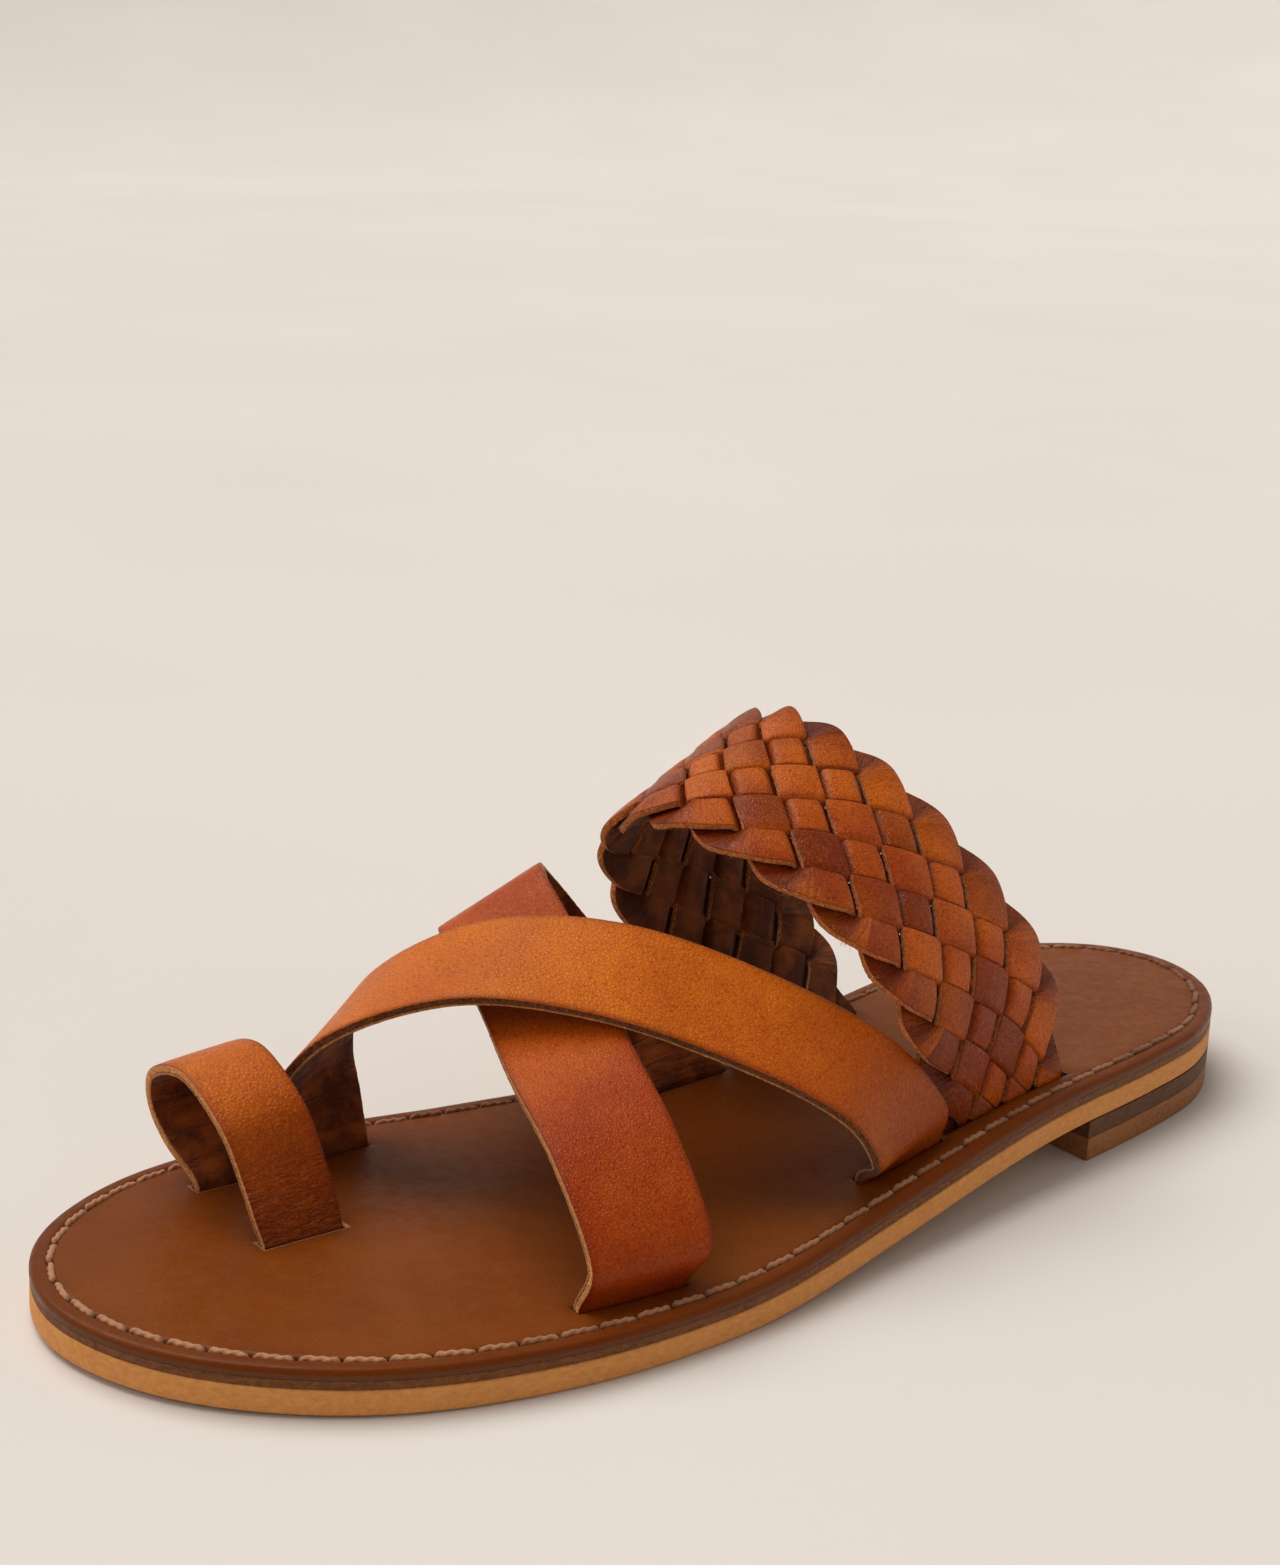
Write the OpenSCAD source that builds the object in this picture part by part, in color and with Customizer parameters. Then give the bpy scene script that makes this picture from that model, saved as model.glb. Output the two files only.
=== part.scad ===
// Flat leather sandal for the left foot: layered sole with a low heel, toe loop,
// two crossed straps and a wide plaited instep strap.
// Millimetres. +X outer side of the foot, -Y toe, +Y heel, +Z up.
// Origin on the floor under the middle of the whole part.

/* [Size] */
// Length of the sole from toe tip to heel end
sole_len = 248; // [220:1:280]

/* [Sole layers] */
// Thickness of the tan outsole
outsole_t = 4.2; // [3:0.1:6]
// Thickness of the dark midsole that holds the strap ends
midsole_t = 1.5; // [1.2:0.1:3]
// Thickness of the top insole leather
insole_t = 1.9; // [1.5:0.1:3]
// Lift of the tan outsole above the floor at the toe tip
toe_spring = 1; // [0:0.5:4]
// Height of the heel under the tan outsole
heel_h = 7.8; // [5:0.1:15]
// Thickness of the brown heel top piece that touches the floor
heel_top_t = 4.4; // [3:0.1:6]
// Front face of the heel, measured from the middle of the part
heel_breast_y = 61.5; // [50:0.5:75]

/* [Straps] */
// Thickness of the grain layer of each flat strap
grain_t = 1.3; // [1:0.1:2]
// Thickness of the lining under each flat strap
lining_t = 0.6; // [0.4:0.1:1]
// Width of the toe loop
toe_w = 15; // [12:0.5:18]
// Width of the crossed strap that lies on top
over_w = 23; // [18:0.5:26]
// Width of the crossed strap that lies underneath
under_w = 21; // [18:0.5:26]
// Length of strap turned in under the insole
tab_len = 9; // [6:0.5:12]

/* [Plait] */
// Width of one strand
strand_w = 7.4; // [6:0.1:7.6]
// Thickness of one strand
strand_t = 1.3; // [1:0.1:1.5]
// Full width of the plait between the strand turns
plait_w = 39.9; // [36:0.1:42]
// Height of a strand above or below the middle of the plait
weave_rise = 1.1; // [0.9:0.05:1.4]
// Width of the plait at its inner slot, as a share of its full width
plait_inner_pinch = 0.72; // [0.7:0.01:0.76]
// Width of the plait at its outer slot, as a share of its full width
plait_outer_pinch = 0.78; // [0.75:0.01:0.9]

/* [Stitching] */
// Distance from one stitch to the next
stitch_pitch = 6.6; // [5:0.1:9]
// Length of thread seen at each stitch
stitch_len = 4.8; // [3:0.1:6]
// Thread diameter
thread_d = 0.9; // [0.6:0.1:1.2]
// Distance of the seam from the edge of the sole
stitch_inset = 3.2; // [2:0.1:6]

/* [Hidden] */

// everything laid out for a 248 mm sole is scaled by this
size_k = sole_len / 248;
upper_t = insole_t + midsole_t;
sole_t = outsole_t + upper_t;
strap_t = grain_t + lining_t;
glue_gap = 0.05;
slot_clear = 0.4;
tab_t = 1.2;

c_insole = [0.45, 0.24, 0.12];
c_midsole = [0.22, 0.13, 0.1];
c_outsole = [0.66, 0.44, 0.27];
c_heel = [0.5, 0.3, 0.18];
c_thread = [0.6, 0.42, 0.32];
c_grain = [0.72, 0.38, 0.16];
c_under = [0.66, 0.28, 0.12];
c_lining = [0.36, 0.2, 0.1];
c_plait = [0.62, 0.28, 0.12];

// ---- curves ----------------------------------------------------------------

function blend4(a, b, c, d, f) = 0.5 * (2 * b + (c - a) * f
    + (2 * a - 5 * b + 4 * c - d) * f * f
    + (3 * b - a - 3 * c + d) * f * f * f);

// smooth open curve through the points of p, t from 0 to 1
function along(p, t) =
    let (n = len(p) - 1)
    let (x = min(max(t, 0), 1) * n)
    let (i = min(floor(x), n - 1))
    let (a = i > 0 ? p[i - 1] : 2 * p[0] - p[1])
    let (d = i < n - 1 ? p[i + 2] : 2 * p[n] - p[n - 1])
    blend4(a, p[i], p[i + 1], d, x - i);

// smooth closed curve through the points of p, t from 0 to 1
function around(p, t) =
    let (n = len(p))
    let (x = (t - floor(t)) * n)
    let (i = floor(x))
    blend4(p[(i + n - 1) % n], p[i], p[(i + 1) % n], p[(i + 2) % n], x - i);

// length of the open curve through the points of p
length_steps = 200;
function curve_length(p) =
    let (pieces = [for (i = [1 : length_steps])
        norm(along(p, i / length_steps) - along(p, (i - 1) / length_steps))])
    pieces * [for (piece = pieces) 1];

function unit(v) = v / norm(v);
function ease(a, b, x) =
    let (t = min(max((x - a) / (b - a), 0), 1))
    t * t * (3 - 2 * t);

// ---- sole shape ------------------------------------------------------------

// the rounded toe and heel ends: middle, half width, reach, and lean of the tip
toe_end = [[0, -64], 45, 60, -7];
heel_end = [[-3, 82], 30, 42, -4];
end_step = 30;

// points of a rounded end, 0 degrees on the outer side and 90 at the heel
function round_end(end, start, stop) = [for (a = [start : end_step : stop])
    end[0] + [end[1] * cos(a) + end[3] * abs(sin(a)), end[2] * sin(a)]];

outer_side = [[46, -31], [40, 5], [33, 44]];
inner_side = [[-27, 44], [-29, 5], [-39, -31]];

// points on the edge of the sole, from the toe round the outer side
outline = size_k * concat(round_end(toe_end, -90, 0), outer_side,
    round_end(heel_end, 0, 180), inner_side, round_end(toe_end, 180, 240));
outline_steps = 240;

// height of the underside of the outsole at a distance y along the sole
toe_roll = 70 * size_k;
arch_front = -39 * size_k;
arch_back = 66 * size_k;
function under_z(y) =
    let (r = max((toe_roll - y - sole_len / 2) / toe_roll, 0))
    toe_spring * r * r + heel_h * ease(arch_front, arch_back, y);
function top_z(y) = under_z(y) + sole_t;
function on_sole(x, y) = [x, y, top_z(y * size_k) / size_k];

function edge_at(t) = around(outline, t);
function edge_normal(t) =
    let (d = unit(around(outline, t + 0.001) - around(outline, t - 0.001)))
    [d[1], -d[0]];
function inset_edge(t, inset) = edge_at(t) - inset * edge_normal(t);

module outline_2d(inset = 0) {
    polygon([for (i = [0 : outline_steps - 1]) inset_edge(i / outline_steps, inset)]);
}

// a slab that follows the rise of the sole, from lo to hi above its underside
slab_steps = 64;
slab_w = 130;
slab_reach = sole_len / 2 + 4;
module slab(lo, hi) {
    ys = [for (i = [0 : slab_steps]) -slab_reach + 2 * slab_reach * i / slab_steps];
    low = [for (y = ys) [y, under_z(y) + lo]];
    high = [for (i = [slab_steps : -1 : 0]) [ys[i], under_z(ys[i]) + hi]];
    rotate([90, 0, 90])
        translate([0, 0, -slab_w / 2])
            linear_extrude(slab_w)
                polygon(concat(low, high));
}

module sole_layer(lo, hi) {
    tall = heel_h + 2 * sole_t;
    intersection() {
        slab(lo, hi);
        translate([0, 0, -1])
            linear_extrude(tall)
                outline_2d();
    }
}

// ---- straps ----------------------------------------------------------------

// Each strap runs from its slot on the inner side, over the foot, to its slot on
// the outer side. mid: points along the middle of its outer face. across: the
// direction of its width, toe edge to heel edge. ends: share of width at slots.
toe_mid = size_k * [on_sole(-33, -79), [-42, -81, 18], [-41, -82, 27], [-30, -82, 31],
    [-17, -82, 26], [-11, -81, 17], on_sole(-7, -80)];
toe_across = [[0, 1, 0], [0, 1, 0.1], [0, 1, 0]];
toe_ends = [0.88, 0.96];

over_mid = size_k * [on_sole(-34, -62), [-38, -61, 21], [-31, -57, 35], [-16, -43, 45],
    [0, -26, 45], [16, -8, 38], [29, 6, 29], [33, 14, 18], on_sole(30, 15)];
over_across = [[0, 1, 0], [-0.7, 0.8, 0.1], [-0.7, 0.7, 0.4], [-0.5, 0.8, 0.3], [-0.1, 1, 0.1]];
over_ends = [0.86, 0.88];

under_mid = size_k * [on_sole(-20, 5), [-34, -4, 22], [-41, -17, 40], [-32, -28, 48],
    [-12, -33, 41], [8, -40, 35], [27, -45, 28], [41, -48, 16], on_sole(38, -49)];
under_across = [[0.1, 1, 0.1], [0.3, 0.8, 0.6], [0.3, 0.9, 0.3], [0.2, 1, 0.1], [0.1, 1, 0]];
under_ends = [0.96, 0.93];

plait_mid = size_k * [on_sole(-20, 33), [-33, 28, 27], [-40, 21, 46], [-37, 14, 62],
    [-22, 14, 70], [-4, 21, 65], [12, 31, 52], [23, 39, 35], on_sole(26, 44)];
plait_across = [[0, 1, 0.1], [-0.2, 0.9, 0.3], [-0.2, 0.9, 0.3], [-0.3, 0.9, 0.2], [-0.1, 1, 0.1]];
plait_ends = [plait_inner_pinch, plait_outer_pinch];

strap_steps = 64;
end_zone = 0.1;
dive = upper_t;

// share of the full width at t
function width_share(ends, t) =
    t < 0.5 ? ends[0] + (1 - ends[0]) * ease(0, end_zone, t)
    : ends[1] + (1 - ends[1]) * ease(0, end_zone, 1 - t);

// middle point, width direction and outward direction at t;
// outside 0..1 the strap goes straight down into its slot by the length d
function strap_dir(mid, t) =
    unit(along(mid, min(t + 0.01, 1)) - along(mid, max(t - 0.01, 0)));
function strap_frame(mid, across, t) =
    let (w = unit(along(across, t)))
    [along(mid, t), w, unit(cross(strap_dir(mid, t), w))];
function end_frame(mid, across, t, d) =
    let (w = unit(along(across, t)))
    let (run = t < 0.5 ? [0, 0, 1] : [0, 0, -1])
    [along(mid, t) - [0, 0, d], w, unit(cross(run, w))];

// one layer of a strap between two depths below its outer face
module strap_layer(mid, across, ends, width, top, bottom, down) {
    ts = [for (i = [0 : strap_steps]) i / strap_steps];
    frames = concat([end_frame(mid, across, 0, down)],
        [for (t = ts) strap_frame(mid, across, t)],
        [end_frame(mid, across, 1, down)]);
    halves = concat([ends[0]], [for (t = ts) width_share(ends, t)], [ends[1]]) * width / 2;
    rings = [for (i = [0 : len(frames) - 1])
        let (f = frames[i])
        let (e = halves[i] * f[1])
        [f[0] - e - top * f[2], f[0] + e - top * f[2],
            f[0] + e - bottom * f[2], f[0] - e - bottom * f[2]]];
    skin_of(rings);
}

// closed solid through a list of four-cornered rings
module skin_of(rings) {
    n = len(rings);
    pts = [for (r = rings) each r];
    sides = [for (i = [0 : n - 2], j = [0 : 3])
        let (a = 4 * i + j)
        let (b = 4 * i + (j + 1) % 4)
        // inner and outer faces are split along the same diagonal
        each j == 2 ? [[a, b, a + 4], [b, b + 4, a + 4]] : [[a, b, b + 4], [a, b + 4, a + 4]]];
    first = [[0, 2, 1], [0, 3, 2]];
    m = 4 * (n - 1);
    last = [[m, m + 1, m + 2], [m, m + 2, m + 3]];
    polyhedron(points = pts, faces = concat(sides, first, last));
}

// the place of a slot: x, y, direction of its length, and its half length
function slot_turn(across, t) =
    let (w = along(across, t))
    atan2(w[1], w[0]) - 90;

// everything cut or laid at a slot is drawn in the slot's own frame,
// with +X pointing away from the foot
module at_slot(mid, across, t) {
    p = along(mid, t);
    translate([p[0], p[1], 0])
        rotate(slot_turn(across, t))
            mirror([t < 0.5 ? 1 : 0, 0, 0])
                children();
}

// vertical opening for a strap of the given thickness
module slot_cut(mid, across, ends, width, thick, t) {
    share = t < 0.5 ? ends[0] : ends[1];
    long = width * share + 2 * slot_clear;
    wide = thick + 2 * slot_clear;
    at_slot(mid, across, t)
        translate([-thick - slot_clear, -long / 2, 0])
            cube([wide, long, heel_h + 2 * sole_t]);
}

// pocket in the midsole for the end of a strap; side 1 turns in under the foot
module pocket_cut(mid, across, ends, width, t, side) {
    share = t < 0.5 ? ends[0] : ends[1];
    long = width * share + 2 * slot_clear;
    reach = tab_len + 2 * slot_clear;
    at_slot(mid, across, t)
        translate([side > 0 ? -reach : -strap_t - slot_clear, -long / 2, 0])
            cube([reach + (side > 0 ? slot_clear : strap_t), long, heel_h + 2 * sole_t]);
}

// the turned-in end of a strap, lying in its pocket
module tab(mid, across, ends, width, t, side) {
    share = t < 0.5 ? ends[0] : ends[1];
    long = width * share;
    low = outsole_t + (midsole_t - tab_t) / 2;
    intersection() {
        slab(low, low + tab_t);
        at_slot(mid, across, t)
            translate([side > 0 ? -tab_len : -grain_t, -long / 2, 0])
                cube([tab_len, long, heel_h + 2 * sole_t]);
    }
}

// how far a strap stops short of the floor of its pocket, and a lining of its slot
strap_short = 0.3;
lining_short = 0.2;
strap_dive = dive - (midsole_t - tab_t) / 2 - strap_short;
lining_dive = insole_t - lining_short;
lining_top = grain_t + glue_gap;

module flat_strap(mid, across, ends, width, side_out) {
    strap_layer(mid, across, ends, width, 0, grain_t, strap_dive);
    tab(mid, across, ends, width, 0, 1);
    tab(mid, across, ends, width, 1, side_out);
}

module flat_lining(mid, across, ends, width) {
    strap_layer(mid, across, ends, width, lining_top, strap_t, lining_dive);
}

// ---- plait -----------------------------------------------------------------

strands = 7;
// distance along the plait from one strand crossing to the next
cross_step = plait_w / strands;
cycle = 2 * strands;
plait_len = curve_length(plait_mid);
mid_depth = weave_rise + strand_t / 2;
plait_slot_w = plait_w + strand_w / 2;
plait_slot_t = 2 * mid_depth + slot_clear;
turn_soft = 1;
// half of the step over which the direction of a strand is measured
turn_step = 0.02;
step_marks = [0, 0.38, 0.46, 0.54, 0.62, 0.8];

// sideways place of a strand: straight runs joined by rounded turns
function zig(k) =
    let (x = k - strands * round(k / strands))
    let (soft = abs(x) < turn_soft ? (x * x + turn_soft * turn_soft) / (2 * turn_soft) : abs(x))
    let (sgn = round(k / strands) % 2 == 0 ? 1 : -1)
    sgn * (plait_w / 2 - cross_step * soft);

// height of a strand: over one, under one; it rises from under to over at a turn
steep = 4;
function weave(k) =
    let (r = k - strands * floor(k / strands))
    r < 1 ? sin(180 * min(r, 0.5))
    : r > strands - 1 ? -sin(180 * min(strands - r, 0.5))
    : min(max(-steep * cos(180 * r), -1), 1);

// point of the plait at u along it, v across it and h above its middle
function plait_point(u, v, h) =
    let (t = u / plait_len)
    let (tc = min(max(t, 0), 1))
    let (f = t < 0 ? end_frame(plait_mid, plait_across, 0, -u)
        : t > 1 ? end_frame(plait_mid, plait_across, 1, u - plait_len)
        : strap_frame(plait_mid, plait_across, t))
    f[0] + v * width_share(plait_ends, tc) * f[1] + (h - mid_depth) * f[2];

function strand_ring(start, k) =
    let (u = (k - start) * cross_step)
    let (du = 2 * turn_step * cross_step)
    let (dv = zig(k + turn_step) - zig(k - turn_step))
    let (side = unit([-dv, du]) * strand_w / 2)
    let (h = weave_rise * weave(k))
    [plait_point(u - side[0], zig(k) - side[1], h + strand_t / 2),
        plait_point(u + side[0], zig(k) + side[1], h + strand_t / 2),
        plait_point(u + side[0], zig(k) + side[1], h - strand_t / 2),
        plait_point(u - side[0], zig(k) - side[1], h - strand_t / 2)];

// extra run of every strand past both slots, trimmed level under the insole
run_out = 2;
// gap between the strand ends and the outsole, and height that clears the plait
strand_short = 0.2;
plait_room = 120 * size_k;
module plait_strand(i) {
    start = cycle * (i - 1) / strands;
    total = ceil(plait_len / cross_step) + run_out;
    first = floor(start) - run_out;
    marks = [for (n = [first : first + total + run_out + 1], m = step_marks) n + m];
    intersection() {
        skin_of([for (k = marks) strand_ring(start, k)]);
        slab(outsole_t + strand_short, plait_room);
    }
}

// ---- stitching -------------------------------------------------------------

// length along the seam against curve position
seam_marks = [for (i = [0 : outline_steps]) inset_edge(i / outline_steps, stitch_inset)];
function seam_sum(i) = i == 0 ? 0 : seam_sum(i - 1) + norm(seam_marks[i] - seam_marks[i - 1]);
seam_table = [for (i = [0 : outline_steps]) [seam_sum(i), i / outline_steps]];
seam_total = seam_table[outline_steps][0];
stitch_count = round(seam_total / stitch_pitch);
thread_clear = 0.15;
channel_w = thread_d + 2 * thread_clear;
channel_depth = 0.4;

module stitch(i) {
    pitch = seam_total / stitch_count;
    s = pitch * (i + 0.5);
    a = inset_edge(lookup(s - stitch_len / 2, seam_table), stitch_inset);
    b = inset_edge(lookup(s + stitch_len / 2, seam_table), stitch_inset);
    lift = thread_d / 2 + glue_gap - channel_depth;
    p = [a[0], a[1], top_z(a[1]) + lift];
    q = [b[0], b[1], top_z(b[1]) + lift];
    d = q - p;
    translate(p)
        rotate([0, acos(d[2] / norm(d)), atan2(d[1], d[0])])
            cylinder(h = norm(d), d = thread_d, $fn = 12);
}

module stitch_channel() {
    intersection() {
        slab(sole_t - channel_depth, sole_t + 1);
        linear_extrude(heel_h + 2 * sole_t)
            difference() {
                outline_2d(stitch_inset - channel_w / 2);
                outline_2d(stitch_inset + channel_w / 2);
            }
    }
}

// ---- sub-parts -------------------------------------------------------------

module insole() {
    color(c_insole)
        difference() {
            sole_layer(outsole_t + midsole_t, sole_t);
            stitch_channel();
            all_slots();
        }
}

module all_slots() {
    for (t = [0, 1]) {
        slot_cut(toe_mid, toe_across, toe_ends, toe_w, strap_t, t);
        slot_cut(over_mid, over_across, over_ends, over_w, strap_t, t);
        slot_cut(under_mid, under_across, under_ends, under_w, strap_t, t);
        slot_cut(plait_mid, plait_across, plait_ends, plait_slot_w, plait_slot_t, t);
    }
}

module midsole() {
    color(c_midsole)
        difference() {
            sole_layer(outsole_t, outsole_t + midsole_t);
            pocket_cut(toe_mid, toe_across, toe_ends, toe_w, 0, 1);
            pocket_cut(toe_mid, toe_across, toe_ends, toe_w, 1, -1);
            for (t = [0, 1]) {
                pocket_cut(over_mid, over_across, over_ends, over_w, t, 1);
                pocket_cut(under_mid, under_across, under_ends, under_w, t, 1);
                slot_cut(plait_mid, plait_across, plait_ends, plait_slot_w, plait_slot_t, t);
            }
        }
}

module outsole() {
    color(c_outsole)
        sole_layer(0, outsole_t);
}

// everything of the heel block between two heights
module heel_block(lo, hi) {
    intersection() {
        linear_extrude(heel_h + 1)
            outline_2d();
        slab(-2 * heel_h, 0);
        translate([-slab_w / 2, heel_breast_y, lo])
            cube([slab_w, sole_len / 2, hi - lo]);
    }
}

module heel_lift() {
    color(c_midsole)
        heel_block(heel_top_t, heel_h);
}

module heel_top_piece() {
    color(c_heel)
        heel_block(0, heel_top_t);
}

module sole_stitching() {
    color(c_thread)
        for (i = [0 : stitch_count - 1])
            stitch(i);
}

module toe_loop() {
    color(c_grain)
        flat_strap(toe_mid, toe_across, toe_ends, toe_w, -1);
}

module toe_loop_lining() {
    color(c_lining)
        flat_lining(toe_mid, toe_across, toe_ends, toe_w);
}

module over_strap() {
    color(c_grain)
        flat_strap(over_mid, over_across, over_ends, over_w, 1);
}

module over_strap_lining() {
    color(c_lining)
        flat_lining(over_mid, over_across, over_ends, over_w);
}

module under_strap() {
    color(c_under)
        flat_strap(under_mid, under_across, under_ends, under_w, 1);
}

module under_strap_lining() {
    color(c_lining)
        flat_lining(under_mid, under_across, under_ends, under_w);
}

module plait_strand_n(i) {
    color(c_plait * (0.9 + 0.03 * i))
        plait_strand(i);
}

insole();
midsole();
outsole();
heel_lift();
heel_top_piece();
sole_stitching();
toe_loop();
toe_loop_lining();
over_strap();
over_strap_lining();
under_strap();
under_strap_lining();
plait_strand_n(1);  // plait_strand_1
plait_strand_n(2);  // plait_strand_2
plait_strand_n(3);  // plait_strand_3
plait_strand_n(4);  // plait_strand_4
plait_strand_n(5);  // plait_strand_5
plait_strand_n(6);  // plait_strand_6
plait_strand_n(7);  // plait_strand_7
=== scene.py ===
import math

import bmesh
import bpy
import numpy as np
from mathutils import Matrix, Vector
from mathutils.geometry import delaunay_2d_cdt


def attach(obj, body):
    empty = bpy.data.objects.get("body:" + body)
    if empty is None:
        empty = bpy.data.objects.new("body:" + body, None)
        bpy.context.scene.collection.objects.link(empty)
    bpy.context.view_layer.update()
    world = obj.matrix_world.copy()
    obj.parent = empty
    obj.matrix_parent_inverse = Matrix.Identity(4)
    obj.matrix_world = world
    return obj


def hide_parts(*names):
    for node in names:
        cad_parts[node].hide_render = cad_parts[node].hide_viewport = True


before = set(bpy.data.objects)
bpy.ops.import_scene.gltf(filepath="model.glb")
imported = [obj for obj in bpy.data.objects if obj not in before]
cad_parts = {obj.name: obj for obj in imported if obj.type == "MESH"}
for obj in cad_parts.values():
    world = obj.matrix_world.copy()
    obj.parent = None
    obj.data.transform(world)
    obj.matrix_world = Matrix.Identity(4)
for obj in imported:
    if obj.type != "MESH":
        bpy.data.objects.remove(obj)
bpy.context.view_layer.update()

MM = 0.001
rng = np.random.default_rng(7)

# ---- dimensions, as in the CAD source ----------------------------------------

SOLE_LEN = 248.0
OUTSOLE_T = 4.2
MIDSOLE_T = 1.5
INSOLE_T = 1.9
SOLE_T = OUTSOLE_T + MIDSOLE_T + INSOLE_T
TOE_SPRING = 1.0
TOE_ROLL = 70.0
HEEL_H = 7.8
HEEL_TOP_T = 4.4
HEEL_BREAST_Y = 61.5
ARCH_FRONT, ARCH_BACK = -39.0, 66.0

GRAIN_T = 1.3
STRAP_T = 1.9
LINING_TOP = 1.35
DIVE = INSOLE_T + MIDSOLE_T - 0.5

STITCH_PITCH = 6.6
STITCH_INSET = 3.2
THREAD_R = 0.45

# Rounded ends of the sole: middle, half width, reach, and lean of the tip.
TOE_END = ((0, -64), 45, 60, -7)
HEEL_END = ((-3, 82), 30, 42, -4)
OUTER_SIDE = [[46, -31], [40, 5], [33, 44]]
INNER_SIDE = [[-27, 44], [-29, 5], [-39, -31]]
END_STEP = 30


def round_end(end, start, stop):
    """Points of a rounded end, 0 degrees on the outer side and 90 at the heel."""
    (mid_x, mid_y), half_width, reach, lean = end
    a = np.radians(np.arange(start, stop + 1, END_STEP))
    return np.c_[mid_x + half_width * np.cos(a) + lean * abs(np.sin(a)), mid_y + reach * np.sin(a)]


OUTLINE = np.vstack(
    [
        round_end(TOE_END, -90, 0), OUTER_SIDE, round_end(HEEL_END, 0, 180), INNER_SIDE,
        round_end(TOE_END, 180, 240),
    ]
)  # fmt: skip

# ---- curves -------------------------------------------------------------------


def blend4(a, b, c, d, f):
    """Catmull-Rom curve from b to c, at share f of the way."""
    return 0.5 * (
        2 * b
        + (c - a) * f
        + (2 * a - 5 * b + 4 * c - d) * f**2
        + (3 * b - a - 3 * c + d) * f**3
    )


def along(points, t):
    """Smooth open curve through the points, t from 0 to 1."""
    p = np.asarray(points, float)
    n = len(p) - 1
    x = np.clip(t, 0, 1) * n
    i = np.minimum(x.astype(int), n - 1)
    q = np.vstack([2 * p[0] - p[1], p, 2 * p[-1] - p[-2]])
    return blend4(q[i], q[i + 1], q[i + 2], q[i + 3], (x - i)[:, None])


def around(points, t):
    """Smooth closed curve through the points, t from 0 to 1."""
    n = len(points)
    x = (t % 1) * n
    i = x.astype(int) % n
    q = [points[(i + k) % n] for k in (-1, 0, 1, 2)]
    return blend4(*q, (x - np.floor(x))[:, None])


def curve_length(points, steps=200):
    stations = along(points, np.arange(steps + 1) / steps)
    return np.linalg.norm(np.diff(stations, axis=0), axis=1).sum()


def unit(v):
    return v / np.linalg.norm(v, axis=-1, keepdims=True)


def ease(a, b, x):
    """Smooth step from 0 at a to 1 at b."""
    t = np.clip((x - a) / (b - a), 0, 1)
    return t * t * (3 - 2 * t)


def fade(distance, reach):
    """Straight fall from 1 at no distance to 0 at the reach."""
    return np.clip(1 - distance / reach, 0, 1)


def bell(distance, width):
    return np.exp(-((distance / width) ** 2))


def under_z(y):
    """Height of the sole's underside, with the rise at the toe and at the waist."""
    roll = np.maximum((TOE_ROLL - y - SOLE_LEN / 2) / TOE_ROLL, 0)
    return TOE_SPRING * roll**2 + HEEL_H * ease(ARCH_FRONT, ARCH_BACK, y)


def top_z(y):
    return under_z(y) + SOLE_T


def on_sole(x, y):
    return [x, y, top_z(y)]


# ---- straps ---------------------------------------------------------------------

# Each strap: points along the middle of its outer face from its inner slot to
# its outer slot, directions of its width, width, share of width at the slots,
# and thickness. For the plait, width and thickness are those of its slots.
TOE = dict(
    mid=[on_sole(-33, -79), [-42, -81, 18], [-41, -82, 27], [-30, -82, 31],
         [-17, -82, 26], [-11, -81, 17], on_sole(-7, -80)],
    across=[[0, 1, 0], [0, 1, 0.1], [0, 1, 0]],
    width=15.0, ends=(0.88, 0.96), thick=STRAP_T,
)  # fmt: skip
OVER = dict(
    mid=[on_sole(-34, -62), [-38, -61, 21], [-31, -57, 35], [-16, -43, 45],
         [0, -26, 45], [16, -8, 38], [29, 6, 29], [33, 14, 18], on_sole(30, 15)],
    across=[[0, 1, 0], [-0.7, 0.8, 0.1], [-0.7, 0.7, 0.4], [-0.5, 0.8, 0.3], [-0.1, 1, 0.1]],
    width=23.0, ends=(0.86, 0.88), thick=STRAP_T,
)  # fmt: skip
UNDER = dict(
    mid=[on_sole(-20, 5), [-34, -4, 22], [-41, -17, 40], [-32, -28, 48],
         [-12, -33, 41], [8, -40, 35], [27, -45, 28], [41, -48, 16], on_sole(38, -49)],
    across=[[0.1, 1, 0.1], [0.3, 0.8, 0.6], [0.3, 0.9, 0.3], [0.2, 1, 0.1], [0.1, 1, 0]],
    width=21.0, ends=(0.96, 0.93), thick=STRAP_T,
)  # fmt: skip

STRANDS = 7
STRAND_W = 7.4
STRAND_T = 1.3
PLAIT_W = 39.9
WEAVE_RISE = 1.1
CROSS_STEP = PLAIT_W / STRANDS
MID_DEPTH = WEAVE_RISE + STRAND_T / 2
PLAIT = dict(
    mid=[on_sole(-20, 33), [-33, 28, 27], [-40, 21, 46], [-37, 14, 62],
         [-22, 14, 70], [-4, 21, 65], [12, 31, 52], [23, 39, 35], on_sole(26, 44)],
    across=[[0, 1, 0.1], [-0.2, 0.9, 0.3], [-0.2, 0.9, 0.3], [-0.3, 0.9, 0.2], [-0.1, 1, 0.1]],
    width=PLAIT_W + STRAND_W / 2, ends=(0.72, 0.78), thick=2 * MID_DEPTH,
)  # fmt: skip
PLAIT_LEN = curve_length(PLAIT["mid"])

# ---- sole edge and strap frames -------------------------------------------------

LOOP_N = 1440  # points round the outline
NARROWING = 0.1  # share of a strap's length over which it narrows to its slot


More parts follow.
